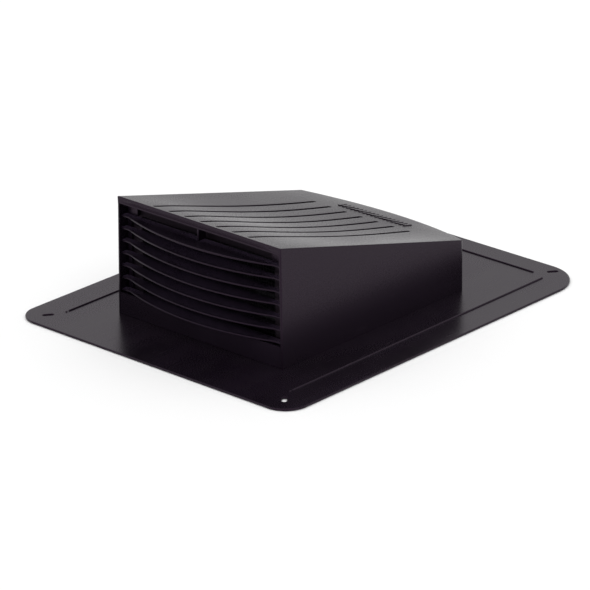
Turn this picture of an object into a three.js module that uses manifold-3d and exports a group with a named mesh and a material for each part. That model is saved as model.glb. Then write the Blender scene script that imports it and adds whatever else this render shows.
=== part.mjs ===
// Slant-back roof vent cover: a nailing flange, a sloping hood with an arched louvre front,
// an insect screen behind the louvres and a gravity damper over the square throat.
// Millimetres, +Z up. Origin: centre of the flange's underside, which lies on the roof deck.
// -Y is the louvred front (downhill side), +Y the low back (uphill side), +X the right-hand side.
import * as THREE from "three";
import { mergeVertices } from "three/addons/utils/BufferGeometryUtils.js";
import Module from "manifold-3d";

const wasm = await Module();
wasm.setup();

// ---- Driving dimensions ----------------------------------------------------------------------
const GAP = 0.3; // air between neighbouring pieces that touch on the real object

const FLANGE_X = 356;
const FLANGE_Y = 444;
const FLANGE_T = 2.2;
const FRONT_CORNER_R = 25;
const BACK_CORNER_R = 44;
const BEAD_W = 2.4;
const BEAD_H = 1.3;
const SIDE_BEAD_X = 146;
const SIDE_BEAD_Y = [-180, 190];
const BACK_BEAD_Y = 196;
const BACK_BEAD_HALF = 130;
const PIP_Y = -183;
const PIP_R = 1.3;
const SLOT_W = 4.8;
const SLOT_L = 11.5;
const FRONT_SLOT = [154, -200];
const BACK_SLOT = [143, 210];
const SLOT_TURN = THREE.MathUtils.degToRad(53);

const HOOD_HALF = 105.2; // half-width at the front top edge
const HOOD_DRAFT = 0.015; // widening per mm downwards
const HOOD_TOP_Z = 123.7;
const HOOD_FRONT_Y = -150.5;
const HOOD_BACK_Y = 114.5; // at the back corners; the back wall bows out between them
const HOOD_BOW = 22.2;
const HOOD_SLOPE = Math.tan(THREE.MathUtils.degToRad(14.67));
const HOOD_WALL = 2.2;
const HOOD_ROOF = 2.4;
const DISH_DEPTH = 4.6;
const DISH_CENTRE_Y = -5;
const DISH_HALF_Y = 125;
const FASCIA_H = 7.2;
const GROOVES = 7;
const GROOVE_PITCH = 20.4;
const GROOVE_HALF = 1.9;
const GROOVE_DEPTH = 1.7;
const GROOVE_SIDE = 0.45; // width of each sloping groove side
const GROOVE_START_Y = -146.5;
const GROOVE_END_Y = 85;

const THROAT_HALF = 88;
const THROAT_Y = -22;
const THROAT_R = 4;
const COLLAR_WALL = 3;
const COLLAR_TOP = 28;
const COLLAR_FOOT_W = 4;
const COLLAR_FOOT_T = 2;
const SEAL_W = 3.6;
const SEAL_TOP = 31.7;

const BLADES = 7;
const BLADE_PITCH = 12.8;
const BLADE_TOP_Z = 103;
const BLADE_T = 2;
const BLADE_END_Y = -147.4;
const BLADE_REAR_Y = -140.5;
const ARCH_HALF = 93.8;
const ARCH_RISE = 16.9;

const POST_X = [97.4, 101.9];
const POST_Y = [-140.2, -137.5];
const POST_TOP = 117.2;
const POST_FOOT_TOP = 23; // below this height the posts reach forward to the sill
const SILL_Y = [-150.3, -148];
const SILL_TOP = 24;
const RAIL_HALF = 102.6;
const RAIL_Y = [-141, -137.5];
const RAIL_Z = [112.5, 115.9];
const RIB_T = 1.8;
const LUG_X = [87.3, 98];
const LUG_Y = -141.8;
const SCREEN_SCREW_TIP_Y = -141;

const SCREEN_Y = [-137, -133.8];
const SCREEN_HALF = 99;
const SCREEN_Z = [4.5, 111.5];
const SCREEN_BORDER_X = 13;
const SCREEN_BORDER_Z = 8;
const MESH_T = 0.8;
const SCREEN_SCREW_Z = [9, 108];
const LUG_Z = [[4.5, 13.5], [104.5, 112.8]];
const SCREEN_SCREW_X = 91;

const FLAP_T = 2;
const FLAP_HALF = 94;
const FLAP_Y = [-116, 71.8];
const HINGE_Y = 78;
const HINGE_Z = 33;
const PIN_R = 1.5;
const BORE_R = 1.62;
const KNUCKLE_R = 3.6;
const KNUCKLE_L = 16;
const KNUCKLE_X = [-60, 0, 60];
const BRACKET_X = 84;
const BRACKET_T = 4;
const BRACKET_R = 4.2;
const BRACKET_FOOT = [73.4, 90];
const PEG_Y = 85;
const PEG_R = 2;
const PIN_HALF = 89.5;

const RIB_Y = [-140, 106]; // low ribs on the flange that locate the hood's side walls
const PAD_R = 6.8;
const PAD_TOP = 5;
const BOSS_R = 4.5;
const BOSS_X = 97.5;
const BOSS_Y = [-122, 98];
const BOSS_TOP = 26;
const SCREW_HOLE_R = 2;
const SCREW_SHANK_R = 1.4;
const SCREW_HEAD_R = 3.5;
const SCREW_TIP_Z = 18;

// ---- Solids ----------------------------------------------------------------------------------

// A closed geometry as a solid that can be joined and cut.
function solid(geometry) {
  const bare = geometry.clone();
  bare.deleteAttribute("normal");
  bare.deleteAttribute("uv");
  const merged = mergeVertices(bare, 1e-4);
  const vertProperties = new Float32Array(merged.attributes.position.array);
  const triVerts = new Uint32Array(merged.index.array);
  return new wasm.Manifold(new wasm.Mesh({ numProp: 3, vertProperties, triVerts }));
}

// A solid as a geometry with flat faces.
function geometryOf(made) {
  const mesh = made.getMesh();
  const geometry = new THREE.BufferGeometry();
  geometry.setAttribute("position", new THREE.BufferAttribute(mesh.vertProperties, 3));
  geometry.setIndex(new THREE.BufferAttribute(mesh.triVerts, 1));
  const flat = geometry.toNonIndexed();
  flat.computeVertexNormals();
  return flat;
}

function box([x0, x1], [y0, y1], [z0, z1]) {
  const geometry = new THREE.BoxGeometry(x1 - x0, y1 - y0, z1 - z0);
  geometry.translate((x0 + x1) / 2, (y0 + y1) / 2, (z0 + z1) / 2);
  return solid(geometry);
}

// A plan shape stood up between two heights.
function prism(shape, z0, z1, curveSegments = 8) {
  const settings = { depth: z1 - z0, bevelEnabled: false, curveSegments };
  const geometry = new THREE.ExtrudeGeometry(shape, settings);
  geometry.translate(0, 0, z0);
  return solid(geometry);
}

// A side-view shape, drawn as (y, z), given a width from x0 to x1.
function sidePrism(shape, x0, x1, curveSegments = 12) {
  const settings = { depth: x1 - x0, bevelEnabled: false, curveSegments };
  const geometry = new THREE.ExtrudeGeometry(shape, settings);
  geometry.rotateY(Math.PI / 2);
  geometry.rotateX(Math.PI / 2);
  geometry.translate(x0, 0, 0);
  return solid(geometry);
}

// A round rod between two points on a line along Z, Y or X.
function rod(radius, from, to, axis, at, sides = 16) {
  const geometry = new THREE.CylinderGeometry(radius, radius, to - from, sides);
  geometry.translate(0, (from + to) / 2, 0);
  if (axis === "z") {
    geometry.rotateX(Math.PI / 2);
    geometry.translate(at[0], at[1], 0);
  }
  if (axis === "y") geometry.translate(at[0], 0, at[1]);
  if (axis === "x") {
    geometry.rotateZ(-Math.PI / 2);
    geometry.translate(0, at[0], at[1]);
  }
  return solid(geometry);
}

function roundedRect(halfX, y0, y1, frontR, backR) {
  const shape = new THREE.Shape();
  shape.moveTo(-halfX + frontR, y0);
  shape.lineTo(halfX - frontR, y0);
  shape.absarc(halfX - frontR, y0 + frontR, frontR, -Math.PI / 2, 0);
  shape.lineTo(halfX, y1 - backR);
  shape.absarc(halfX - backR, y1 - backR, backR, 0, Math.PI / 2);
  shape.lineTo(-halfX + backR, y1);
  shape.absarc(-halfX + backR, y1 - backR, backR, Math.PI / 2, Math.PI);
  shape.lineTo(-halfX, y0 + frontR);
  shape.absarc(-halfX + frontR, y0 + frontR, frontR, Math.PI, Math.PI * 1.5);
  return shape;
}

function throatOutline(grow) {
  const y0 = THROAT_Y - THROAT_HALF - grow;
  const y1 = THROAT_Y + THROAT_HALF + grow;
  const radius = THROAT_R + grow;
  return roundedRect(THROAT_HALF + grow, y0, y1, radius, radius);
}

function slotOutline(x, y, turn) {
  const reach = (SLOT_L - SLOT_W) / 2;
  const dx = Math.cos(turn) * reach;
  const dy = Math.sin(turn) * reach;
  const slot = new THREE.Path();
  slot.absarc(x + dx, y + dy, SLOT_W / 2, turn - Math.PI / 2, turn + Math.PI / 2);
  slot.absarc(x - dx, y - dy, SLOT_W / 2, turn + Math.PI / 2, turn + Math.PI * 1.5);
  return slot;
}

const joined = (solids) => solids.reduce((whole, next) => whole.add(next));
const cut = (whole, tools) => tools.reduce((rest, tool) => rest.subtract(tool), whole);
const bothSides = (make) => [make(-1), make(1)];
const across = (side, near, far) => (side > 0 ? [near, far] : [-far, -near]);

// ---- Hood shape: roof heights and the bowed back edge ------------------------------------------
const BOW_R = (HOOD_HALF ** 2 + HOOD_BOW ** 2) / (2 * HOOD_BOW);

function backEdgeY(x) {
  const reach = Math.min(Math.abs(x), HOOD_HALF);
  return HOOD_BACK_Y + HOOD_BOW - BOW_R + Math.sqrt(BOW_R ** 2 - reach ** 2);
}

function roofZ(x, y) {
  const acrossDish = 1 - (x / HOOD_HALF) ** 2;
  const alongDish = 1 - ((y - DISH_CENTRE_Y) / DISH_HALF_Y) ** 2;
  const dish = alongDish > 0 && acrossDish > 0 ? DISH_DEPTH * acrossDish * alongDish ** 1.5 : 0;
  return HOOD_TOP_Z - HOOD_SLOPE * (y - HOOD_FRONT_Y) - dish;
}

// Half the hollow's width at a height: the side walls lean outwards on the way down.
function hollowHalf(z) {
  return (HOOD_HALF - HOOD_WALL) * (1 + (HOOD_DRAFT * (HOOD_TOP_Z - z)) / HOOD_HALF);
}

// Lines across the roof: each groove has two edges and two floor lines.
function roofLinesX() {
  const lines = [{ x: -HOOD_HALF, depth: 0 }, { x: -85, depth: 0 }];
  for (let i = 0; i < GROOVES; i++) {
    const centre = (i - (GROOVES - 1) / 2) * GROOVE_PITCH;
    lines.push({ x: centre - GROOVE_HALF, depth: 0 });
    lines.push({ x: centre - GROOVE_HALF + GROOVE_SIDE, depth: GROOVE_DEPTH });
    lines.push({ x: centre + GROOVE_HALF - GROOVE_SIDE, depth: GROOVE_DEPTH });
    lines.push({ x: centre + GROOVE_HALF, depth: 0 });
  }
  lines.push({ x: 85, depth: 0 }, { x: HOOD_HALF, depth: 0 });
  return lines;
}

// Lines along the roof: the grooves start and end inside it, and the last lines follow the bowed back.
function roofLinesY(frontY) {
  const steps = 9;
  const backSteps = 2;
  const slopeEnd = GROOVE_SIDE * 2;
  const first = GROOVE_START_Y + slopeEnd;
  const lines = [{ y: frontY, floor: 0 }, { y: GROOVE_START_Y, floor: 0 }];
  for (let i = 0; i <= steps; i++) {
    lines.push({ y: first + ((GROOVE_END_Y - first) * i) / steps, floor: 1 });
  }
  for (let i = 0; i <= backSteps; i++) {
    lines.push({ y: GROOVE_END_Y + slopeEnd, floor: 0, towardsBack: i / backSteps });
  }
  return lines;
}

// A block under the roof surface. inset and drop shrink it to the hollow inside the hood.
function hoodBlock(inset, drop, floorZ, frontY) {
  const linesX = roofLinesX();
  const linesY = roofLinesY(frontY);
  const columns = linesX.length - 1;
  const rows = linesY.length - 1;
  const geometry = new THREE.BoxGeometry(1, 1, 1, columns, rows, 1);
  const place = geometry.attributes.position;
  const shrink = (HOOD_HALF - inset) / HOOD_HALF;
  for (let i = 0; i < place.count; i++) {
    const lineX = linesX[Math.round((place.getX(i) + 0.5) * columns)];
    const lineY = linesY[Math.round((place.getY(i) + 0.5) * rows)];
    const backY = backEdgeY(lineX.x) - inset;
    const x = lineX.x * shrink;
    const y = lineY.y + (backY - lineY.y) * (lineY.towardsBack ?? 0);
    const top = place.getZ(i) > 0;
    const z = top ? roofZ(x, y) - drop - lineX.depth * lineY.floor : floorZ;
    const widen = 1 + (HOOD_DRAFT * (HOOD_TOP_Z - z)) / HOOD_HALF;
    place.setXYZ(i, x * widen, y, z);
  }
  return solid(geometry);
}

// ---- Pieces ------------------------------------------------------------------------------------

function makeBaseFlange() {
  const outline = roundedRect(
    FLANGE_X / 2, -FLANGE_Y / 2, FLANGE_Y / 2, FRONT_CORNER_R, BACK_CORNER_R,
  );
  outline.holes.push(throatOutline(0));
  bothSides((side) => {
    outline.holes.push(slotOutline(side * FRONT_SLOT[0], FRONT_SLOT[1], side * -SLOT_TURN));
    outline.holes.push(slotOutline(side * BACK_SLOT[0], BACK_SLOT[1], side * SLOT_TURN));
  });
  const beadZ = [FLANGE_T - 0.5, FLANGE_T + BEAD_H];
  const ribZ = [FLANGE_T - 0.5, PAD_TOP];
  const backBeadY = [BACK_BEAD_Y - BEAD_W / 2, BACK_BEAD_Y + BEAD_W / 2];
  const parts = [
    prism(outline, 0, FLANGE_T),
    box([-BACK_BEAD_HALF, BACK_BEAD_HALF], backBeadY, beadZ),
  ];
  const countersinks = [];
  bothSides((side) => {
    const beadX = across(side, SIDE_BEAD_X - BEAD_W / 2, SIDE_BEAD_X + BEAD_W / 2);
    parts.push(box(beadX, SIDE_BEAD_Y, beadZ));
    parts.push(rod(PIP_R, beadZ[0], beadZ[1], "z", [side * SIDE_BEAD_X, PIP_Y], 10));
    parts.push(box(across(side, 102, 104), RIB_Y, ribZ));
    parts.push(rod(PEG_R, FLANGE_T - 0.5, 6.6, "z", [side * BRACKET_X, PEG_Y], 12));
    for (const y of BOSS_Y) {
      parts.push(rod(PAD_R, 0, PAD_TOP, "z", [side * BOSS_X, y], 20));
      const sink = [
        new THREE.Vector2(0, -1),
        new THREE.Vector2(SCREW_HEAD_R + 1.4, -1),
        new THREE.Vector2(SCREW_HOLE_R, 2.1),
        new THREE.Vector2(SCREW_HOLE_R, PAD_TOP + 1),
        new THREE.Vector2(0, PAD_TOP + 1),
      ];
      const hole = new THREE.LatheGeometry(sink, 16);
      hole.rotateX(Math.PI / 2);
      hole.translate(side * BOSS_X, y, 0);
      countersinks.push(solid(hole));
    }
  });
  return cut(joined(parts), countersinks);
}

// An upright ring round the throat with a foot that lies on the flange.
function makeThroatCollar() {
  const wall = throatOutline(COLLAR_WALL);
  const foot = throatOutline(COLLAR_WALL + COLLAR_FOOT_W);
  wall.holes.push(throatOutline(0));
  foot.holes.push(throatOutline(0));
  const floorZ = FLANGE_T + GAP;
  return prism(wall, floorZ, COLLAR_TOP, 3).add(prism(foot, floorZ, floorZ + COLLAR_FOOT_T, 3));
}

function makeHoodShell() {
  const floorZ = FLANGE_T + GAP;
  const shell = hoodBlock(0, 0, floorZ, HOOD_FRONT_Y).subtract(
    hoodBlock(HOOD_WALL, HOOD_ROOF, floorZ - 5, HOOD_FRONT_Y - 5),
  );
  const fasciaZ = [HOOD_TOP_Z - FASCIA_H, HOOD_TOP_Z - HOOD_ROOF + 0.5];
  const wallX = HOOD_HALF - 1;
  const parts = [
    shell,
    box([-wallX, wallX], [HOOD_FRONT_Y, HOOD_FRONT_Y + HOOD_WALL], fasciaZ),
  ];
  const pilots = [];
  bothSides((side) => {
    // vertical stop that the louvre frame's edge rests against
    parts.push(box(across(side, 100.4, wallX + 0.6), [-137.1, -135], [30, 100]));
    for (const y of BOSS_Y) {
      parts.push(rod(BOSS_R, PAD_TOP + 0.4, BOSS_TOP, "z", [side * BOSS_X, y], 20));
      parts.push(box(across(side, BOSS_X, wallX + 1.5), [y - 1.5, y + 1.5], [PAD_TOP + 0.4, BOSS_TOP]));
      pilots.push(rod(SCREW_SHANK_R + GAP, 0, SCREW_TIP_Z + 2, "z", [side * BOSS_X, y], 16));
    }
  });
  return cut(joined(parts), pilots);
}

// The louvre frame's post: the blades' rear edges lie against it, and its foot reaches the sill.
function postOutline() {
  const shape = new THREE.Shape();
  shape.moveTo(POST_Y[1], FLANGE_T + GAP);
  shape.lineTo(POST_Y[1], POST_TOP);
  shape.lineTo(POST_Y[0], POST_TOP);
  shape.lineTo(POST_Y[0], POST_FOOT_TOP);
  shape.lineTo(SILL_Y[1], POST_FOOT_TOP);
  shape.lineTo(SILL_Y[1], FLANGE_T + GAP);
  return shape;
}

// The short rib that stands on the top blade and meets the fascia; its top slopes with the roof.
function centreRibOutline() {
  const low = BLADE_TOP_Z + BLADE_T / 2 + GAP;
  const shape = new THREE.Shape();
  shape.moveTo(RAIL_Y[0] + 1, low);
  shape.lineTo(RAIL_Y[0] + 1, RAIL_Z[1]);
  shape.lineTo(HOOD_FRONT_Y + HOOD_WALL + GAP, HOOD_TOP_Z - FASCIA_H - GAP);
  shape.lineTo(HOOD_FRONT_Y + GAP, HOOD_TOP_Z - FASCIA_H - GAP);
  shape.lineTo(HOOD_FRONT_Y + GAP, low);
  return shape;
}

// The sill closes the front below the louvres; its ends follow the lean of the hood's side walls.
function makeSill() {
  const low = FLANGE_T + GAP;
  const lowHalf = hollowHalf(low) - GAP;
  const topHalf = hollowHalf(SILL_TOP) - GAP;
  const shape = new THREE.Shape();
  shape.moveTo(-lowHalf, low);
  shape.lineTo(lowHalf, low);
  shape.lineTo(topHalf, SILL_TOP);
  shape.lineTo(-topHalf, SILL_TOP);
  const depth = SILL_Y[1] - SILL_Y[0];
  const geometry = new THREE.ExtrudeGeometry(shape, { depth, bevelEnabled: false });
  geometry.rotateX(Math.PI / 2);
  geometry.translate(0, SILL_Y[1], 0);
  return solid(geometry);
}

function makeLouvreFrame() {
  const parts = [
    makeSill(),
    box([-RAIL_HALF, RAIL_HALF], RAIL_Y, RAIL_Z),
    sidePrism(centreRibOutline(), -RIB_T / 2, RIB_T / 2),
  ];
  const pilots = [];
  bothSides((side) => {
    parts.push(sidePrism(postOutline(), ...across(side, POST_X[0], POST_X[1])));
    // small lugs beside the posts take the screen's screws
    for (const z of LUG_Z) parts.push(box(across(side, ...LUG_X), [LUG_Y, POST_Y[1]], z));
    for (const z of SCREEN_SCREW_Z) {
      pilots.push(rod(1.5, SCREEN_SCREW_TIP_Y - GAP, -137, "y", [side * SCREEN_SCREW_X, z], 12));
    }
  });
  return cut(joined(parts), pilots);
}

function makeLouvreBlade(index) {
  const radius = (ARCH_HALF ** 2 + ARCH_RISE ** 2) / (2 * ARCH_RISE);
  const centreY = BLADE_END_Y - ARCH_RISE + radius;
  const sweep = Math.asin(ARCH_HALF / radius);
  const z = BLADE_TOP_Z - index * BLADE_PITCH;
  const half = hollowHalf(z + BLADE_T / 2) - GAP;
  const shape = new THREE.Shape();
  shape.moveTo(half, BLADE_REAR_Y);
  shape.lineTo(-half, BLADE_REAR_Y);
  shape.lineTo(-half, BLADE_END_Y);
  shape.absarc(0, centreY, radius, -Math.PI / 2 - sweep, -Math.PI / 2 + sweep);
  shape.lineTo(half, BLADE_END_Y);
  return prism(shape, z - BLADE_T / 2, z + BLADE_T / 2, 28);
}

function makeScreenFrame() {
  const hollowX = SCREEN_HALF - SCREEN_BORDER_X;
  const whole = box([-SCREEN_HALF, SCREEN_HALF], SCREEN_Y, SCREEN_Z);
  const hollowZ = [SCREEN_Z[0] + SCREEN_BORDER_Z, SCREEN_Z[1] - SCREEN_BORDER_Z];
  const tools = [box([-hollowX, hollowX], [SCREEN_Y[0] - 1, SCREEN_Y[1] + 1], hollowZ)];
  bothSides((side) => {
    for (const z of SCREEN_SCREW_Z) {
      tools.push(rod(1.6, SCREEN_Y[0] - 1, SCREEN_Y[1] + 1, "y", [side * SCREEN_SCREW_X, z], 12));
    }
  });
  return cut(whole, tools);
}

function makeScreenMesh() {
  const halfX = SCREEN_HALF - SCREEN_BORDER_X - GAP;
  const midY = (SCREEN_Y[0] + SCREEN_Y[1]) / 2;
  const low = SCREEN_Z[0] + SCREEN_BORDER_Z + GAP;
  const high = SCREEN_Z[1] - SCREEN_BORDER_Z - GAP;
  return box([-halfX, halfX], [midY - MESH_T / 2, midY + MESH_T / 2], [low, high]);
}

function makeScreenScrew(side, z) {
  const behind = SCREEN_Y[1] + GAP;
  const at = [side * SCREEN_SCREW_X, z];
  const shank = rod(1.2, SCREEN_SCREW_TIP_Y, behind + 0.5, "y", at, 12);
  return rod(2.8, behind, behind + 1.8, "y", at, 14).add(shank);
}

// The foam seal on the collar's rim is four butted strips: two long sides and two ends between them.
function makeSealStrip(side, lengthwise) {
  const z = [COLLAR_TOP + GAP, SEAL_TOP];
  const inner = THROAT_HALF + 0.2;
  const outer = THROAT_HALF + SEAL_W;
  const y = [THROAT_Y - outer, THROAT_Y + outer];
  if (lengthwise) return box(across(side, inner, outer), y, z);
  const [low, high] = across(side, inner, outer);
  return box([GAP - inner, inner - GAP], [THROAT_Y + low, THROAT_Y + high], z);
}

function makeDamperFlap() {
  const under = SEAL_TOP + GAP;
  const over = under + FLAP_T;
  const parts = [prism(roundedRect(FLAP_HALF, FLAP_Y[0], FLAP_Y[1], 6, 6), under, over)];
  for (const x of [-58, 0, 58]) {
    parts.push(box([x - 1, x + 1], [FLAP_Y[0] + 12, FLAP_Y[1] - 8], [over - 0.5, over + 2.5]));
  }
  for (const y of [-78, -22, 34]) {
    parts.push(box([-FLAP_HALF + 10, FLAP_HALF - 10], [y - 1, y + 1], [over - 0.5, over + 2.5]));
  }
  for (const x of KNUCKLE_X) {
    const ends = [x - KNUCKLE_L / 2, x + KNUCKLE_L / 2];
    parts.push(box(ends, [FLAP_Y[1] - 1, HINGE_Y - 2.6], [under, over]));
    parts.push(rod(KNUCKLE_R, ends[0], ends[1], "x", [HINGE_Y, HINGE_Z], 24));
  }
  const bore = rod(BORE_R, -PIN_HALF, PIN_HALF, "x", [HINGE_Y, HINGE_Z], 24);
  return joined(parts).subtract(bore);
}

function makeHingePin() {
  return rod(PIN_R, -PIN_HALF, PIN_HALF, "x", [HINGE_Y, HINGE_Z], 24);
}

function makeHingeBracket(side) {
  const foot = FLANGE_T + GAP;
  const shape = new THREE.Shape();
  shape.moveTo(HINGE_Y - BRACKET_R, foot);
  shape.lineTo(HINGE_Y + BRACKET_R, foot);
  shape.lineTo(HINGE_Y + BRACKET_R, HINGE_Z);
  shape.absarc(HINGE_Y, HINGE_Z, BRACKET_R, 0, Math.PI);
  const centre = side * BRACKET_X;
  const upright = sidePrism(shape, centre - BRACKET_T / 2, centre + BRACKET_T / 2);
  const plate = box([centre - 7, centre + 7], BRACKET_FOOT, [foot, 5.2]);
  const bore = rod(BORE_R, centre - 9, centre + 9, "x", [HINGE_Y, HINGE_Z], 24);
  const pegHole = rod(PEG_R + GAP, 0, 9, "z", [centre, PEG_Y], 16);
  return upright.add(plate).subtract(bore).subtract(pegHole);
}

function makePinClip(side) {
  const near = BRACKET_X + BRACKET_T / 2 + GAP;
  const [from, to] = across(side, near, near + 0.9);
  const disc = rod(4.2, from, to, "x", [HINGE_Y, HINGE_Z], 24);
  return disc.subtract(rod(BORE_R, from - 1, to + 1, "x", [HINGE_Y, HINGE_Z], 24));
}

function makeHoodScrew(side, y) {
  const head = GAP;
  const profile = [
    new THREE.Vector2(0, head),
    new THREE.Vector2(SCREW_HEAD_R, head),
    new THREE.Vector2(SCREW_SHANK_R, head + 2.2),
    new THREE.Vector2(SCREW_SHANK_R, SCREW_TIP_Z - 2),
    new THREE.Vector2(0, SCREW_TIP_Z),
  ];
  const geometry = new THREE.LatheGeometry(profile, 16);
  geometry.rotateX(Math.PI / 2);
  geometry.translate(side * BOSS_X, y, 0);
  return solid(geometry);
}

// ---- Materials -----------------------------------------------------------------------------------
const finish = (color, roughness, metalness) =>
  new THREE.MeshStandardMaterial({ color, roughness, metalness });
const hoodPlastic = finish(0x1d1a1e, 0.42, 0);
const flangePlastic = finish(0x201d20, 0.36, 0);
const louvrePlastic = finish(0x19171a, 0.45, 0);
const screenPlastic = finish(0x1e1d1f, 0.6, 0);
const wireMesh = finish(0x2a2a2c, 0.5, 0.9);
const flapPlastic = finish(0x2b2a2d, 0.5, 0);
const foam = finish(0x151515, 0.95, 0);
const steel = finish(0xb4b6b8, 0.3, 1);
const zinc = finish(0x9fa19a, 0.4, 1);

// ---- Assembly ------------------------------------------------------------------------------------
const group = new THREE.Group();

function place(name, made, material) {
  const mesh = new THREE.Mesh(geometryOf(made), material);
  mesh.name = name;
  group.add(mesh);
}

place("base_flange", makeBaseFlange(), flangePlastic);
place("throat_collar", makeThroatCollar(), flangePlastic);
place("hood_shell", makeHoodShell(), hoodPlastic);
place("louvre_frame", makeLouvreFrame(), louvrePlastic);
for (let i = 0; i < BLADES; i++) place(`louvre_blade_${i + 1}`, makeLouvreBlade(i), louvrePlastic);
place("screen_frame", makeScreenFrame(), screenPlastic);
place("screen_mesh", makeScreenMesh(), wireMesh);
place("damper_flap", makeDamperFlap(), flapPlastic);
place("damper_hinge_pin", makeHingePin(), steel);
bothSides((side) => {
  const hand = side < 0 ? "left" : "right";
  place(`throat_seal_${hand}`, makeSealStrip(side, true), foam);
  place(`throat_seal_${side < 0 ? "front" : "back"}`, makeSealStrip(side, false), foam);
  place(`hinge_bracket_${hand}`, makeHingeBracket(side), screenPlastic);
  place(`hinge_pin_clip_${hand}`, makePinClip(side), steel);
  for (const y of BOSS_Y) {
    const end = y < 0 ? "front" : "back";
    place(`hood_screw_${end}_${hand}`, makeHoodScrew(side, y), zinc);
  }
  for (const z of SCREEN_SCREW_Z) {
    const level = z < HINGE_Z ? "lower" : "upper";
    place(`screen_screw_${level}_${hand}`, makeScreenScrew(side, z), zinc);
  }
});

export default group;
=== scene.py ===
"""Looks for a slant-back roof vent cover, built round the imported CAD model.

The dimensions below are millimetres, and are scaled to metres when a mesh is made.
+Z is up, -Y is the louvred front (downhill side), +X the right-hand side.
"""
import math

import bpy
import bmesh
from mathutils import Matrix, Vector
from mathutils.geometry import tessellate_polygon


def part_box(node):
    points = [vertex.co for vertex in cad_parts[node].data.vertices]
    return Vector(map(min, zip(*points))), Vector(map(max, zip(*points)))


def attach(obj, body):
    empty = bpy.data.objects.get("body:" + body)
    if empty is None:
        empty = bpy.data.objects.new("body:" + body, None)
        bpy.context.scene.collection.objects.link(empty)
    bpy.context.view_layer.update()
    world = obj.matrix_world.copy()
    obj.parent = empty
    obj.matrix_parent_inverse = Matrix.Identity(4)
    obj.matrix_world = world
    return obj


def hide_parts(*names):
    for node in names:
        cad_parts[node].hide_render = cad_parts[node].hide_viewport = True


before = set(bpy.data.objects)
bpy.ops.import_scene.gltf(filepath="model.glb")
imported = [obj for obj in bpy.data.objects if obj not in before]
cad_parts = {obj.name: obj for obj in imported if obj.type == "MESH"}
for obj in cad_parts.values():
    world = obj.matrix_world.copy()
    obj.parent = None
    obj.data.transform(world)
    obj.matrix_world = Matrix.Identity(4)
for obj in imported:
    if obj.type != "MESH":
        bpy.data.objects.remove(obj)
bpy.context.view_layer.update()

MM = 0.001
SAME_POINT = 1e-6  # metres
CAD_EDGE_ANGLE = 40

# ---- Driving dimensions ------------------------------------------------------------------------
# Repeated from the CAD part. Known small differences: the grooves are 0.6 mm wider here and their
# ends are round, the hood's foot is 0.25 mm lower, the blades are 0.2 mm longer at each end, and the
# stop ribs start 0.4 mm further in.
FLANGE_X = 356
FLANGE_Y = 444
FLANGE_T = 2.2
FRONT_CORNER_R = 25
BACK_CORNER_R = 44
BEAD_W = 2.4
BEAD_H = 1.3
SIDE_BEAD_X = 146
SIDE_BEAD_Y = (-180, 190)
BACK_BEAD_Y = 196
BACK_BEAD_HALF = 130
PIP_Y = -183
PIP_R = 1.3
SLOT_W = 4.8
SLOT_L = 11.5
FRONT_SLOT = (154, -200)
BACK_SLOT = (143, 210)
SLOT_TURN = math.radians(53)

HOOD_HALF = 105.2
HOOD_DRAFT = 0.015
HOOD_TOP_Z = 123.7
HOOD_FRONT_Y = -150.5
HOOD_BACK_Y = 114.5
HOOD_BOW = 22.2
HOOD_SLOPE = math.tan(math.radians(14.67))
HOOD_WALL = 2.2
HOOD_ROOF = 2.4
HOOD_FOOT_Z = 2.25
DISH_DEPTH = 4.6
DISH_CENTRE_Y = -5
DISH_HALF_Y = 125
FASCIA_H = 7.2
GROOVES = 7
GROOVE_PITCH = 20.4
GROOVE_HALF = 2.2
GROOVE_DEPTH = 1.7
GROOVE_START_Y = -146.5
GROOVE_END_Y = 86

THROAT_HALF = 88
THROAT_Y = -22
THROAT_R = 4
THROAT_CORNER_STEPS = 8

BLADES = 7
BLADE_PITCH = 12.8
BLADE_TOP_Z = 103
BLADE_T = 2
BLADE_END_Y = -147.4
BLADE_REAR_Y = -140.5
ARCH_HALF = 93.8
ARCH_RISE = 16.9
BLADE_END_GAP = 0.1
BLADE_STRAIGHT_X = 98
BLADE_SPANS = 72
LIP_R = 0.8
REAR_ROUND = 0.2

RIB_X = 103
RIB_W = 2
RIB_Y = (-140, 106)
STOP_RIB_X = 100
STOP_RIB_Y = (-137.1, -135)
STOP_RIB_Z = (30, 100)
PAD_R = 6.8
PAD_TOP = 5
BOSS_R = 4.5
BOSS_X = 97.5
BOSS_Y = (-122, 98)
BOSS_FOOT = 5.4
BOSS_TOP = 26
PILOT_GAP = 0.3
PILOT_DEPTH_Z = (20, 21)
GUSSET_HALF = 1.5
PEG_X = 84
PEG_Y = 85
PEG_R = 2
PEG_H = 4.4
SCREW_SHANK_R = 1.4
SCREW_HEAD_R = 3.5
SCREW_HOLE_R = 2
COUNTERSINK_R = 3.96
COUNTERSINK_TOP = 2.1
SINK_BELOW = 0.3  # how far a small feature starts inside the face that it stands on

# ---- Gathering a mesh ---------------------------------------------------------------------------


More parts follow.
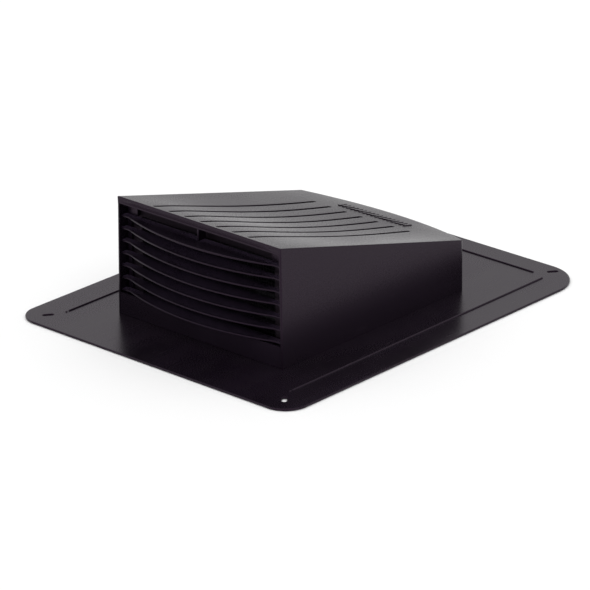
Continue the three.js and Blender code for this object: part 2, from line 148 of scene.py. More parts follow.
class Shape:
    """Points in millimetres and faces, gathered feature by feature into one piece."""

    def __init__(self):
        self.points = []
        self.faces = []

    def add(self, points, faces):
        start = len(self.points)
        self.points.extend(points)
        self.faces.extend([start + i for i in face] for face in faces)

    def skin(self, rings, caps=True, around=True):
        """A skin over a row of rings that all have the same number of points."""
        count = len(rings[0])
        points = [point for ring in rings for point in ring]
        faces = []
        for row in range(len(rings) - 1):
            for i in range(count if around else count - 1):
                j = (i + 1) % count
                a = row * count
                faces.append((a + i, a + j, a + count + j, a + count + i))
        if caps:
            faces.append(tuple(range(count))[::-1])
            faces.append(tuple(range(len(points) - count, len(points))))
        self.add(points, faces)

    def piece(self, name, material, weights=None):
        """The gathered mesh as an object, smooth shaded, with its faces turned outwards."""
        mesh = bpy.data.meshes.new(name)
        mesh.from_pydata([Vector(p) * MM for p in self.points], [], self.faces)
        build = bmesh.new()
        build.from_mesh(mesh)
        bmesh.ops.remove_doubles(build, verts=build.verts, dist=SAME_POINT)
        bmesh.ops.recalc_face_normals(build, faces=build.faces)
        build.to_mesh(mesh)
        build.free()
        mesh.shade_smooth()
        if weights:
            weigh_edges(mesh, weights)
        made = bpy.data.objects.new(name, mesh)
        bpy.context.scene.collection.objects.link(made)
        mesh.materials.append(material)
        return made


def weigh_edges(mesh, weights):
    """Bevel weights for the edges whose two ends a rule accepts; points are given in millimetres."""
    stored = mesh.attributes.new("bevel_weight_edge", "FLOAT", "EDGE")
    for edge in mesh.edges:
        ends = [mesh.vertices[i].co / MM for i in edge.vertices]
        for rule, weight in weights:
            if rule(*ends):
                stored.data[edge.index].value = weight


def even_shading(made, weight=80):
    """Makes large faces shade flat where they meet small ones."""
    even = made.modifiers.new("even_shading", "WEIGHTED_NORMAL")
    even.weight = weight


def soften(made, width, angle, segments=2):
    """Rounds the sharp edges of a piece and evens its shading."""
    bevel = made.modifiers.new("edge_round", "BEVEL")
    bevel.limit_method = "ANGLE"
    bevel.angle_limit = math.radians(angle)
    bevel.width = width * MM
    bevel.segments = segments
    even_shading(made)
    return made


def soften_weighted(made, width, segments=4):
    """Rounds only the edges that carry a bevel weight, in proportion to it."""
    bevel = made.modifiers.new("weighted_round", "BEVEL")
    bevel.limit_method = "WEIGHT"
    bevel.width = width * MM
    bevel.segments = segments
    bevel.use_clamp_overlap = False


def soften_cad(node, width):
    """A CAD node's corners are joined up first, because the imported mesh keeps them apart."""
    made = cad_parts[node]
    made.modifiers.new("join_corners", "WELD").merge_threshold = SAME_POINT
    return soften(made, width, CAD_EDGE_ANGLE)


# ---- Outlines and small solids --------------------------------------------------------------------


def arc(centre, radius, start, end, steps):
    """Points along a circle between two angles, both ends included."""
    points = []
    for i in range(steps + 1):
        angle = start + (end - start) * i / steps
        points.append((centre[0] + radius * math.cos(angle), centre[1] + radius * math.sin(angle)))
    return points


def rounded_rect(half_x, y0, y1, front_r, back_r, steps):
    """A rectangle centred on x = 0, with one radius for its front corners and one for its back."""
    quarter = math.pi / 2
    return (
        arc((half_x - front_r, y0 + front_r), front_r, -quarter, 0, steps)
        + arc((half_x - back_r, y1 - back_r), back_r, 0, quarter, steps)
        + arc((back_r - half_x, y1 - back_r), back_r, quarter, 2 * quarter, steps)
        + arc((front_r - half_x, y0 + front_r), front_r, 2 * quarter, 3 * quarter, steps)
    )


def slot_outline(x, y, turn, steps=12):
    """A round-ended nail slot, turned by an angle."""
    reach = (SLOT_L - SLOT_W) / 2
    step = (math.cos(turn) * reach, math.sin(turn) * reach)
    quarter = math.pi / 2
    near = arc((x + step[0], y + step[1]), SLOT_W / 2, turn - quarter, turn + quarter, steps)
    far = arc((x - step[0], y - step[1]), SLOT_W / 2, turn + quarter, turn + 3 * quarter, steps)
    return near + far


def inset_loop(loop, inset):
    """A counter-clockwise loop moved inwards by inset."""
    moved = []
    for i, point in enumerate(loop):
        before = Vector(loop[i - 1])
        after = Vector(loop[(i + 1) % len(loop)])
        along = (after - before).normalized()
        moved.append((point[0] - along.y * inset, point[1] + along.x * inset))
    return moved


def plate(shape, outline, holes, z0, z1, edge):
    """A flat plate with holes, whose rims are rounded by edge."""
    profile = []
    for i in range(4):
        angle = math.radians(30 * i)
        profile.append((edge * (1 - math.sin(angle)), z0 + edge * (1 - math.cos(angle))))
    profile = profile + [(inset, z1 - (z - z0)) for inset, z in reversed(profile)]
    top_loops = []
    bottom_loops = []
    for loop, inwards in [(outline, 1)] + [(hole, -1) for hole in holes]:
        rings = []
        for inset, z in profile:
            rings.append([(x, y, z) for x, y in inset_loop(loop, inset * inwards)])
        shape.skin(rings, caps=False)
        bottom_loops.append([Vector(p) for p in rings[0]])
        top_loops.append([Vector(p) for p in rings[-1]])
    for loops in (bottom_loops, top_loops):
        shape.add([tuple(p) for loop in loops for p in loop], tessellate_polygon(loops))


def lathe(shape, profile, at, sides=32, closed=False):
    """Turns (radius, height) points round an upright line; a closed profile makes a ring."""
    rings = []
    for radius, height in profile:
        ring = []
        for i in range(sides):
            angle = 2 * math.pi * i / sides
            u = radius * math.cos(angle)
            v = radius * math.sin(angle)
            ring.append((at[0] + u, at[1] + v, at[2] + height))
        rings.append(ring)
    if closed:
        rings.append(rings[0])
    shape.skin(rings, caps=not closed)


def bead(shape, start, end, width, height, base_z):
    """A half-round raised line on a flat face, with rounded ends."""
    along = Vector((end[0] - start[0], end[1] - start[1]))
    length = along.length
    along.normalize()
    aside = Vector((-along.y, along.x))
    radius = width / 2
    stations = []
    for i in range(5):
        angle = math.radians(90 * i / 4)
        stations.append((radius * (1 - math.cos(angle)), max(math.sin(angle), 0.08)))
    stations = stations + [(length - d, scale) for d, scale in reversed(stations)]
    rings = []
    for distance, scale in stations:
        middle = Vector(start) + along * distance
        ring = []
        for i in range(9):
            angle = math.pi * i / 8
            place = middle + aside * (radius * scale * math.cos(angle))
            ring.append((place.x, place.y, base_z + height * scale * math.sin(angle)))
        below = base_z - SINK_BELOW
        first = (ring[0][0], ring[0][1], below)
        last = (ring[-1][0], ring[-1][1], below)
        rings.append([first] + ring + [last])
    shape.skin(rings)


def block(shape, x, y, z):
    """A box between two corners; its edges are rounded when the piece is softened."""
    rings = [[(x[0], y[0], h), (x[1], y[0], h), (x[1], y[1], h), (x[0], y[1], h)] for h in z]
    shape.skin(rings)


def across(side, near, far):
    """A range of x on the right side, or its mirror image on the left."""
    return (near, far) if side > 0 else (-far, -near)


def smooth_step(value):
    """0 to 1 with a gentle start and end."""
    value = min(max(value, 0), 1)
    return value * value * (3 - 2 * value)


# ---- Camera, floor and light ----------------------------------------------------------------------
VIEW_AZIMUTH = math.radians(42.014)
VIEW_ELEVATION = math.radians(22.235)
VIEW_ROLL = math.radians(-0.286)
VIEW_DISTANCE = 3.9021
VIEW_ASIDE = -0.00918
VIEW_LIFT = 0.00281
LENS = 243.1
SENSOR = 36
FAR_CLIP = 100
FLOOR_RADIUS = 3.2
FLOOR_Z = -0.0004
FLOOR_SIDES = 96
FLOOR_COLOUR = (0.95, 0.95, 0.95, 1)
# (how far up a direction points, its brightness)
SKY_LEVELS = ((0.0, 0.62), (0.12, 0.75), (0.35, 0.95), (1.0, 1.0))
SOFT_BOX_PLACE = (-0.5, 0.3, 2.4)
SOFT_BOX_SIZE = 2.2
SOFT_BOX_WATTS = 12


def make_camera():
    """A long lens, looking down at the front right corner of the vent."""
    flat = math.cos(VIEW_ELEVATION)
    back = Vector((
        math.sin(VIEW_AZIMUTH) * flat,
        -math.cos(VIEW_AZIMUTH) * flat,
        math.sin(VIEW_ELEVATION),
    ))
    right = Vector((math.cos(VIEW_AZIMUTH), math.sin(VIEW_AZIMUTH), 0))
    up = back.cross(right)
    target = right * VIEW_ASIDE + up * VIEW_LIFT
    rolled_right = right * math.cos(VIEW_ROLL) + up * math.sin(VIEW_ROLL)
    rolled_up = up * math.cos(VIEW_ROLL) - right * math.sin(VIEW_ROLL)
    camera = bpy.data.objects.new("camera", bpy.data.cameras.new("camera"))
    bpy.context.scene.collection.objects.link(camera)
    turn = Matrix((rolled_right, rolled_up, back)).transposed().to_4x4()
    camera.matrix_world = Matrix.Translation(target + back * VIEW_DISTANCE) @ turn
    camera.data.lens = LENS
    camera.data.sensor_width = SENSOR
    camera.data.clip_end = FAR_CLIP
    bpy.context.scene.camera = camera


def add_node(tree, kind, settings=None, inputs=None):
    """A shader node with its settings made, and its inputs set or linked."""
    made = tree.nodes.new(kind)
    for key, value in (settings or {}).items():
        setattr(made, key, value)
    for key, value in (inputs or {}).items():
        if isinstance(value, bpy.types.NodeSocket):
            tree.links.new(value, made.inputs[key])
        else:
            made.inputs[key].default_value = value
    return made


def make_world():
    """A white studio: bright overhead, greyer towards the horizon."""
    world = bpy.data.worlds.new("studio")
    bpy.context.scene.world = world
    world.use_nodes = True
    tree = world.node_tree
    tree.nodes.clear()
    place = add_node(tree, "ShaderNodeTexCoord")
    parts = add_node(tree, "ShaderNodeSeparateXYZ", inputs={"Vector": place.outputs["Generated"]})
    ramp = add_node(tree, "ShaderNodeValToRGB", inputs={"Fac": parts.outputs["Z"]})
    ramp.color_ramp.elements[0].position = SKY_LEVELS[0][0]
    ramp.color_ramp.elements[1].position = SKY_LEVELS[-1][0]
    for position, _ in SKY_LEVELS[1:-1]:
        ramp.color_ramp.elements.new(position)
    for stop, (_, level) in zip(ramp.color_ramp.elements, SKY_LEVELS):
        stop.color = (level, level, level, 1)
    light = add_node(tree, "ShaderNodeBackground", inputs={
        "Color": ramp.outputs["Color"], "Strength": 1.0,
    })
    out = add_node(tree, "ShaderNodeOutputWorld")
    tree.links.new(light.outputs["Background"], out.inputs["Surface"])


def make_light(name, place, size, watts):
    """A square soft box that points at the middle of the vent."""
    lamp = bpy.data.lights.new(name, "AREA")
    lamp.shape = "SQUARE"
    lamp.size = size
    lamp.energy = watts
    made = bpy.data.objects.new(name, lamp)
    bpy.context.scene.collection.objects.link(made)
    made.location = place
    made.rotation_euler = (-Vector(place)).to_track_quat("-Z", "Y").to_euler()


def make_floor():
    """A wide pale disc, so large that its rim stays out of the camera's view."""
    shape = Shape()
    radius = FLOOR_RADIUS / MM
    rim = []
    for i in range(FLOOR_SIDES):
        angle = 2 * math.pi * i / FLOOR_SIDES
        rim.append((radius * math.cos(angle), radius * math.sin(angle), FLOOR_Z / MM))
    shape.add(rim, [tuple(range(FLOOR_SIDES))])
    material = bpy.data.materials.new("pale_floor")
    material.use_nodes = True
    shader = material.node_tree.nodes["Principled BSDF"]
    shader.inputs["Base Color"].default_value = FLOOR_COLOUR
    shader.inputs["Roughness"].default_value = 0.9
    shader.inputs["Specular IOR Level"].default_value = 0.1
    floor = shape.piece("floor", material)


# ---- Materials ------------------------------------------------------------------------------------
# Colours are linear. Lengths are millimetres, and patterns are given in features per metre.
HOOD_BLACK = (0.0052, 0.0032, 0.0062)
LOUVRE_BLACK = (0.0056, 0.0036, 0.007)
BLADE_BLACK = (0.0062, 0.0042, 0.0078)
# Painted fill light: a lighter colour laid where the blades shade one another
BLADE_PAINTED_FILL_LIGHT = (0.085, 0.06, 0.105)
INNER_BLACK = (0.009, 0.0075, 0.0095)
FLAP_GREY = (0.035, 0.035, 0.037)
PALE_DUST = (0.045, 0.04, 0.042)
WIRE_BLACK = (0.03, 0.027, 0.033)
WORN_WIRE = (0.022, 0.02, 0.024)
STEEL = (0.55, 0.56, 0.57)
DULL_STEEL = (0.4, 0.4, 0.4)
ZINC = (0.5, 0.5, 0.46)
DULL_ZINC = (0.42, 0.4, 0.33)
FOAM_PIT_SHADE = (0.007, 0.007, 0.007)
FOAM_SKIN = (0.022, 0.022, 0.023)
FOAM_DUST = (0.04, 0.039, 0.037)

PLASTIC_IOR = 1.31
PLASTIC_GLOSS_TINT = (1.0, 0.66, 1.0, 1)
FLOW_PER_METRE = 14
PATCHES_PER_METRE = 55
SCUFFS_PER_METRE = 60
GRAIN_PER_METRE = 900
FLOW_HEIGHT = 0.6
GRAIN_HEIGHT = 0.08
GRAIN_STRENGTH = 0.2
RUBBED_EDGE_R = 0.7
# How far the ambient occlusion that places the painted fill light looks
PAINTED_FILL_REACH = 22
CELLS_PER_METRE = 1500.0
CELL_DEPTH = 0.15
WIRE_LINE_DEPTH = 0.03


def mix_colour(tree, factor, low, high):
    """A colour between low (factor 0) and high (factor 1)."""
    made = add_node(tree, "ShaderNodeMix", {"data_type": "RGBA"})
    for index, value in ((0, factor), (6, low), (7, high)):
        if isinstance(value, bpy.types.NodeSocket):
            tree.links.new(value, made.inputs[index])
        else:
            made.inputs[index].default_value = value
    return made.outputs[2]


def spread(tree, value, from_low, from_high, to_low, to_high):
    """A value stretched from one range to another, and held inside it."""
    made = add_node(tree, "ShaderNodeMapRange", inputs={
        "Value": value,
        "From Min": from_low, "From Max": from_high,
        "To Min": to_low, "To Max": to_high,
    })
    return made.outputs["Result"]


def sum_of(tree, first, second):
    """Two values added."""
    made = add_node(tree, "ShaderNodeMath", {"operation": "ADD"}, {0: first, 1: second})
    return made.outputs[0]


def product(tree, first, second):
    """Two values multiplied."""
    made = add_node(tree, "ShaderNodeMath", {"operation": "MULTIPLY"}, {0: first, 1: second})
    return made.outputs[0]


def cloud(tree, place, per_metre, detail=3, stretch=None):
    """Noise with a given number of features per metre; stretch scales it along each axis first."""
    if stretch:
        moved = add_node(tree, "ShaderNodeMapping", inputs={"Vector": place, "Scale": stretch})
        place = moved.outputs[0]
    made = add_node(tree, "ShaderNodeTexNoise", inputs={
        "Vector": place, "Scale": per_metre, "Detail": detail,
    })
    return made.outputs["Fac"]


def bump(tree, height, strength, depth_mm, base_normal=None):
    """A surface normal tilted by a height pattern, on top of another bump if one is given."""
    inputs = {"Height": height, "Strength": strength, "Distance": depth_mm * MM}
    if base_normal is not None:
        inputs["Normal"] = base_normal
    return add_node(tree, "ShaderNodeBump", inputs=inputs).outputs[0]


def edge_mask(tree, radius_mm, keen):
    """White along outer and inner edges: where a rounded normal leaves the face's own."""
    rounded = add_node(tree, "ShaderNodeBevel", {"samples": 4}, {"Radius": radius_mm * MM})
    face = add_node(tree, "ShaderNodeNewGeometry")
    dot = add_node(tree, "ShaderNodeVectorMath", {"operation": "DOT_PRODUCT"}, {
        0: rounded.outputs[0], 1: face.outputs["Normal"],
    })
    return spread(tree, dot.outputs["Value"], 1.0, 1.0 - keen, 0.0, 1.0)


def new_material(name):
    """A material, its node tree, its shader and a place on the object for patterns to use."""
    material = bpy.data.materials.new(name)
    material.use_nodes = True
    tree = material.node_tree
    place = add_node(tree, "ShaderNodeTexCoord").outputs["Object"]
    return material, tree, tree.nodes["Principled BSDF"], place


def moulded_plastic(name, colour, roughness, wear=0.5, dust=0.05, painted_fill_light=None):
    """Satin moulded polypropylene: fine spark-eroded grain, flow marks, scuffs and rubbed edges.

    The last argument is a colour painted where ambient occlusion finds the surface shut in: painted
    fill light that lightens the shade there.
    """
    material, tree, shader, place = new_material(name)
    flow = cloud(tree, place, FLOW_PER_METRE, 2, (1.0, 0.35, 1.0))
    patches = cloud(tree, place, PATCHES_PER_METRE, 3)
    fine = cloud(tree, place, GRAIN_PER_METRE, 2)
    scuff_field = cloud(tree, place, SCUFFS_PER_METRE, 4, (9.0, 0.7, 3.0))
    scuffs = spread(tree, scuff_field, 0.66, 0.74, 0.0, 1.0)
    uneven = spread(tree, patches, 0.35, 0.65, 0.3, 1.0)
    rubbed = product(tree, edge_mask(tree, RUBBED_EDGE_R, 0.35), uneven)
    darker = tuple(c * 0.75 for c in colour) + (1,)
    lighter = tuple(c * 1.3 for c in colour) + (1,)
    worn = tuple(c * 2.4 + 0.004 for c in colour) + (1,)
    base = mix_colour(tree, spread(tree, flow, 0.35, 0.65, 0.0, 1.0), darker, lighter)
    base = mix_colour(tree, product(tree, scuffs, 0.35), base, worn)
    base = mix_colour(tree, product(tree, rubbed, wear), base, worn)
    facing = add_node(tree, "ShaderNodeNewGeometry").outputs["Normal"]
    upward = add_node(tree, "ShaderNodeSeparateXYZ", inputs={"Vector": facing}).outputs["Z"]
    drifts = spread(tree, patches, 0.42, 0.7, 0.2, 1.0)
    settled = product(tree, spread(tree, upward, 0.6, 1.0, 0.0, 1.0), drifts)
    base = mix_colour(tree, product(tree, settled, dust), base, PALE_DUST + (1,))
    # Painted fill light: the colour is lifted where ambient occlusion finds the surface shut in,
    # lightening the shade there
    if painted_fill_light:
        openness = add_node(tree, "ShaderNodeAmbientOcclusion", {"samples": 8}, {
            "Distance": PAINTED_FILL_REACH * MM,
        }).outputs["AO"]
        base = mix_colour(tree, spread(tree, openness, 0.08, 0.5, 1.0, 0.0), base, painted_fill_light + (1,))
    tree.links.new(base, shader.inputs["Base Color"])
    rough = spread(tree, flow, 0.3, 0.7, roughness - 0.04, roughness + 0.05)
    rough = sum_of(tree, rough, spread(tree, fine, 0.3, 0.7, -0.03, 0.03))
    rough = sum_of(tree, rough, product(tree, scuffs, 0.08))
    tree.links.new(rough, shader.inputs["Roughness"])
    shader.inputs["IOR"].default_value = PLASTIC_IOR
    shader.inputs["Specular Tint"].default_value = PLASTIC_GLOSS_TINT
    waves = bump(tree, flow, 0.25, FLOW_HEIGHT)
    tree.links.new(bump(tree, fine, GRAIN_STRENGTH, GRAIN_HEIGHT, waves), shader.inputs["Normal"])
    return material


def metal(name, colour, roughness, stretch, wear_colour, per_metre=900):
    """Drawn or plated metal: fine lines along the drawing direction, and dull patches."""
    material, tree, shader, place = new_material(name)
    lines = cloud(tree, place, per_metre, 3, stretch)
    patches = cloud(tree, place, 260, 3)
    dull = spread(tree, patches, 0.45, 0.7, 0.0, 0.6)
    tinted = mix_colour(tree, dull, colour + (1,), wear_colour + (1,))
    bright = tuple(min(c * 1.25, 1.0) for c in colour) + (1,)
    base = mix_colour(tree, product(tree, edge_mask(tree, 0.2, 0.4), 0.5), tinted, bright)
    tree.links.new(base, shader.inputs["Base Color"])
    rough = spread(tree, lines, 0.3, 0.7, roughness - 0.08, roughness + 0.12)
    tree.links.new(sum_of(tree, rough, product(tree, dull, 0.2)), shader.inputs["Roughness"])
    shader.inputs["Metallic"].default_value = 1.0
    tree.links.new(bump(tree, lines, 0.25, WIRE_LINE_DEPTH), shader.inputs["Normal"])
    return material


def foam_rubber(name):
    """Closed-cell foam strip: small burst cells over a matt skin, with painted shade in the cells'
    hollows.
    """
    material, tree, shader, place = new_material(name)
    voronoi = add_node(tree, "ShaderNodeTexVoronoi", inputs={
        "Vector": place, "Scale": CELLS_PER_METRE,
    })
    cells = voronoi.outputs["Distance"]
    patches = cloud(tree, place, 90, 3)
    # Painted shade: the colour darkens in the hollow of each cell, where the bump sinks it
    tone = spread(tree, cells, 0.1, 0.6, 0.0, 1.0)
    base = mix_colour(tree, tone, FOAM_PIT_SHADE + (1,), FOAM_SKIN + (1,))
    base = mix_colour(tree, spread(tree, patches, 0.5, 0.75, 0.0, 0.4), base, FOAM_DUST + (1,))
    tree.links.new(base, shader.inputs["Base Color"])
    tree.links.new(spread(tree, patches, 0.3, 0.7, 0.85, 0.97), shader.inputs["Roughness"])
    tree.links.new(bump(tree, cells, 0.6, CELL_DEPTH), shader.inputs["Normal"])
    return material


# ---- Hood -----------------------------------------------------------------------------------------
BOW_R = (HOOD_HALF ** 2 + HOOD_BOW ** 2) / (2 * HOOD_BOW)
# (distance inside the groove's rim, share of its depth)
GROOVE_STEPS = ((0.0, 0.0), (0.08, 0.1), (0.26, 0.94), (0.36, 1.0))
PLAIN_COLUMNS = (69, 77, 86, 94)  # mesh lines beside the outermost grooves
WALL_LEVELS = (0.0, 0.04, 0.15, 0.35, 0.55, 0.75, 0.92, 1.0)
FASCIA_LEVEL = len(WALL_LEVELS) - 2
# (share of the fascia's height from the top, how far it is sunk): a face, a recess and a lower bead
FASCIA_PROFILE = (
    (0.4, 0.0), (0.45, 0.15), (0.49, 1.2), (0.69, 1.3),
    (0.75, 0.6), (0.79, 0.1), (0.84, 0.0), (0.96, 0.05),
)
BACK_ROWS = 6
ROOF_SPANS = 30

BARS = 17
BAR_PITCH = 5.3
BAR_HALF = 1.55
BAR_CORNER = 1.2
BAR_Y = (99, 111)
BAR_PROFILE = ((0, -0.5), (0, 0.6), (0.12, 0.8), (0.4, 0.9))  # (inset, height above the roof)

HOOD_ROUND = 3.0  # the radius of an edge whose bevel weight is 1
SHARP_ROUND = 0.3
ON_EDGE = 0.05  # how near a point must be to count as on an edge


def back_edge_y(x):
    """The bowed line where the back wall stands."""
    reach = min(abs(x), HOOD_HALF)
    return HOOD_BACK_Y + HOOD_BOW - BOW_R + math.sqrt(BOW_R ** 2 - reach ** 2)


def roof_z(x, y):
    """The roof panel slopes down to the back and is slightly dished in the middle."""
    across_dish = 1 - (x / HOOD_HALF) ** 2
    along_dish = 1 - ((y - DISH_CENTRE_Y) / DISH_HALF_Y) ** 2
    dish = DISH_DEPTH * across_dish * along_dish ** 1.5 if along_dish > 0 and across_dish > 0 else 0
    return HOOD_TOP_Z - HOOD_SLOPE * (y - HOOD_FRONT_Y) - dish


def widen(z):
    """The draft of the side walls: the hood grows slightly wider downwards."""
    return 1 + HOOD_DRAFT * (HOOD_TOP_Z - z) / HOOD_HALF


def groove_depth(x, y):
    """How far the roof is sunk at a point: the grooves have rounded ends and sloping sides."""
    nearest = round(x / GROOVE_PITCH)
    if abs(nearest) > GROOVES // 2:
        return 0
    axis_y = min(max(y, GROOVE_START_Y + GROOVE_HALF), GROOVE_END_Y - GROOVE_HALF)
    inside = GROOVE_HALF - math.hypot(x - nearest * GROOVE_PITCH, y - axis_y)
    for (near, low), (far, high) in zip(GROOVE_STEPS, GROOVE_STEPS[1:]):
        if inside < far:
            return GROOVE_DEPTH * (low + (high - low) * max(inside - near, 0) / (far - near))
    return GROOVE_DEPTH


def roof_columns(y, evened):
    """Places across the roof where its mesh lines run at one y, from left to right.

    evened is how far they are spread evenly instead of following the grooves.
    """
    past = max(GROOVE_START_Y + GROOVE_HALF - y, y - GROOVE_END_Y + GROOVE_HALF, 0)
    columns = [-x for x in reversed(PLAIN_COLUMNS)]
    for i in range(GROOVES):
        centre = (i - GROOVES // 2) * GROOVE_PITCH
        half_lines = []
        for rank, (inset, _) in enumerate(GROOVE_STEPS):
            room = (GROOVE_HALF - inset) ** 2 - past ** 2
            least = 0.08 * (len(GROOVE_STEPS) - rank)
            half_lines.append(max(math.sqrt(room) if room > 0 else 0, least))
        columns += [centre - h for h in half_lines] + [centre + h for h in reversed(half_lines)]
        if i < GROOVES - 1:
            columns += [centre + GROOVE_PITCH * share for share in (0.3, 0.5, 0.7)]
    columns += PLAIN_COLUMNS
    last = len(columns) - 1
    outermost = PLAIN_COLUMNS[-1]
    even = [outermost * (2 * i / last - 1) for i in range(len(columns))]
    mixed = [c + (e - c) * evened for c, e in zip(columns, even)]
    return [-HOOD_HALF] + mixed + [HOOD_HALF]


def hood_rows():
    """Mesh lines from front to back as (y, share of the way to the bowed back edge)."""
    end_steps = (0.0, 0.3, 0.75, 1.25, GROOVE_HALF)
    rows = [HOOD_FRONT_Y, HOOD_FRONT_Y + HOOD_WALL]
    rows += [GROOVE_START_Y + step for step in end_steps]
    first = GROOVE_START_Y + GROOVE_HALF
    last = GROOVE_END_Y - GROOVE_HALF
    rows += [first + (last - first) * i / ROOF_SPANS for i in range(1, ROOF_SPANS)]
    rows += [GROOVE_END_Y - step for step in reversed(end_steps)]
    lines = [(y, 0) for y in rows]
    lines += [(GROOVE_END_Y + 1.2, share / BACK_ROWS) for share in range(BACK_ROWS + 1)]
    return lines


def hood_section(y, share, inner, lowered):
    """One line round the hood: up the left wall, across the roof and down the right wall.

    inner is the hollow's surface, and lowered brings its roof down to the underside of the fascia.
    """
    inset = HOOD_WALL if inner else 0
    drop = HOOD_ROOF if inner else 0
    shrink = (HOOD_HALF - inset) / HOOD_HALF
    roof = []
    for x in roof_columns(y, smooth_step(share * 1.2)):
        back_y = back_edge_y(x) - inset
        place_y = y + (back_y - y) * share
        sunk = 0 if inner else groove_depth(x, place_y)
        z = roof_z(x * shrink, place_y) - drop - sunk
        if lowered:
            z = HOOD_TOP_Z - FASCIA_H
        roof.append((x * shrink * widen(z), place_y, z))
    left = wall_line(roof[0], inner, lowered)
    right = wall_line(roof[-1], inner, lowered)
    return left + roof[1:-1] + right[::-1]


def wall_line(corner, inner, lowered):
    """Points up a side wall to a roof corner; a lowered line ends one level sooner."""
    corner_x, y, top = corner
    outwards = corner_x / widen(top)
    fascia_share = 1 - (FASCIA_H - HOOD_ROOF) / (HOOD_TOP_Z - HOOD_ROOF - HOOD_FOOT_Z)
    levels = list(WALL_LEVELS)
    if inner:
        levels[FASCIA_LEVEL] = fascia_share
    if lowered:
        levels = [level / fascia_share for level in levels[:FASCIA_LEVEL]] + [1.0]
    points = []
    for level in levels:
        z = HOOD_FOOT_Z + (top - HOOD_FOOT_Z) * level
        points.append((outwards * widen(z), y, z))
    return points


def back_wall(section):
    """Rows down the back wall below the last section's roof, without its outermost columns."""
    walls = len(WALL_LEVELS)
    roof = section[walls - 1:len(section) - walls + 1]
    rows = []
    for level in range(walls - 1, -1, -1):
        row = [section[level]]
        for x, y, top in roof[1:-1]:
            share = (section[level][2] - HOOD_FOOT_Z) / (section[walls - 1][2] - HOOD_FOOT_Z)
            z = HOOD_FOOT_Z + (top - HOOD_FOOT_Z) * share
            row.append((x / widen(top) * widen(z), y, z))
        row.append(section[len(section) - 1 - level])
        rows.append(row)
    return rows


def strip(shape, first, second):
    """Quads between two open rows of points."""
    shape.skin([first, second], caps=False, around=False)


def hood_surface(shape, inner):
    """The hood's outer or inner surface; returns its front and bottom edges as open rows."""
    lines = hood_rows()
    if inner:
        lines = lines[1:]
    sections = [hood_section(y, share, inner, False) for y, share in lines]
    shape.skin(sections, caps=False, around=False)
    rear = back_wall(sections[-1])
    shape.skin(rear, caps=False, around=False)
    left_foot = [section[0] for section in sections]
    right_foot = [section[-1] for section in sections]
    foot = left_foot + rear[-1][1:-1] + right_foot[::-1]
    return sections[0], foot


def hood_front_rim(shape, outer_front, inner_front):
    """The fascia and the front ends of the side walls."""
    walls = len(WALL_LEVELS)
    front_y, _ = hood_rows()[0]
    behind_y, _ = hood_rows()[1]
    low_front = hood_section(front_y, 0, True, True)
    low_behind = hood_section(behind_y, 0, True, True)
    low_front = [(x, front_y, z) for x, _, z in low_front]
    strip(shape, low_front, low_behind)
    low_walls = walls - 1
    inner_roof = inner_front[walls - 1:len(inner_front) - walls + 1]
    strip(shape, low_behind[low_walls - 1:len(low_behind) - low_walls + 1], inner_roof)
    left_outer = outer_front[:low_walls]
    left_inner = low_front[:low_walls]
    strip(shape, left_outer, left_inner)
    strip(shape, outer_front[-low_walls:], low_front[-low_walls:])
    outer_roof = outer_front[walls - 1:len(outer_front) - walls + 1]
    low_roof = low_front[low_walls - 1:len(low_front) - low_walls + 1]
    rows = [outer_roof]
    for share, recess in FASCIA_PROFILE:
        rows.append(fascia_row(outer_roof, low_roof, share, recess))
    rows.append(low_roof)
    shape.skin(rows, caps=False, around=False)
    for end, wall in ((0, outer_front[walls - 2]), (-1, outer_front[-(walls - 1)])):
        for upper, lower in zip(rows, rows[1:]):
            shape.add([wall, upper[end], lower[end]], [(0, 1, 2)])


def fascia_row(outer_roof, low_roof, share, recess):
    """A line across the fascia at a share of its height, sunk by recess except at its two ends."""
    row = []
    last = len(outer_roof) - 1
    for i, (upper, lower) in enumerate(zip(outer_roof, low_roof)):
        point = Vector(upper).lerp(Vector(lower), share)
        sunk = recess if 1 < i < last - 1 else 0
        row.append((point.x, point.y + sunk, point.z))
    return row


def roof_bars(shape):
    """A row of small blank raised bars near the hood's back edge."""
    for i in range(BARS):
        centre = (i - (BARS - 1) / 2) * BAR_PITCH
        rings = []
        for inset, height in BAR_PROFILE:
            corner = BAR_CORNER - inset
            front, back = BAR_Y[0] + inset, BAR_Y[1] - inset
            outline = rounded_rect(BAR_HALF - inset, front, back, corner, corner, 4)
            rings.append([(centre + x, y, roof_z(centre + x, y) + height) for x, y in outline])
        shape.skin(rings)


def hood_bosses(shape):
    """Inside the side walls: stop ribs that the louvre frame rests against, and screw bosses."""
    bore = SCREW_SHANK_R + PILOT_GAP
    profile = [
        (bore, BOSS_FOOT), (BOSS_R - 0.4, BOSS_FOOT), (BOSS_R, BOSS_FOOT + 0.4),
        (BOSS_R, BOSS_TOP - 0.5), (BOSS_R - 0.5, BOSS_TOP), (0.01, BOSS_TOP),
        (0.01, PILOT_DEPTH_Z[1]), (bore, PILOT_DEPTH_Z[0]),
    ]
    for side in (-1, 1):
        block(shape, across(side, STOP_RIB_X, HOOD_HALF - 1), STOP_RIB_Y, STOP_RIB_Z)
        gusset_x = across(side, BOSS_X + 3, HOOD_HALF + 0.5)
        for y in BOSS_Y:
            block(shape, gusset_x, (y - GUSSET_HALF, y + GUSSET_HALF), (BOSS_FOOT, BOSS_TOP))
            lathe(shape, profile, (side * BOSS_X, y, 0), closed=True)


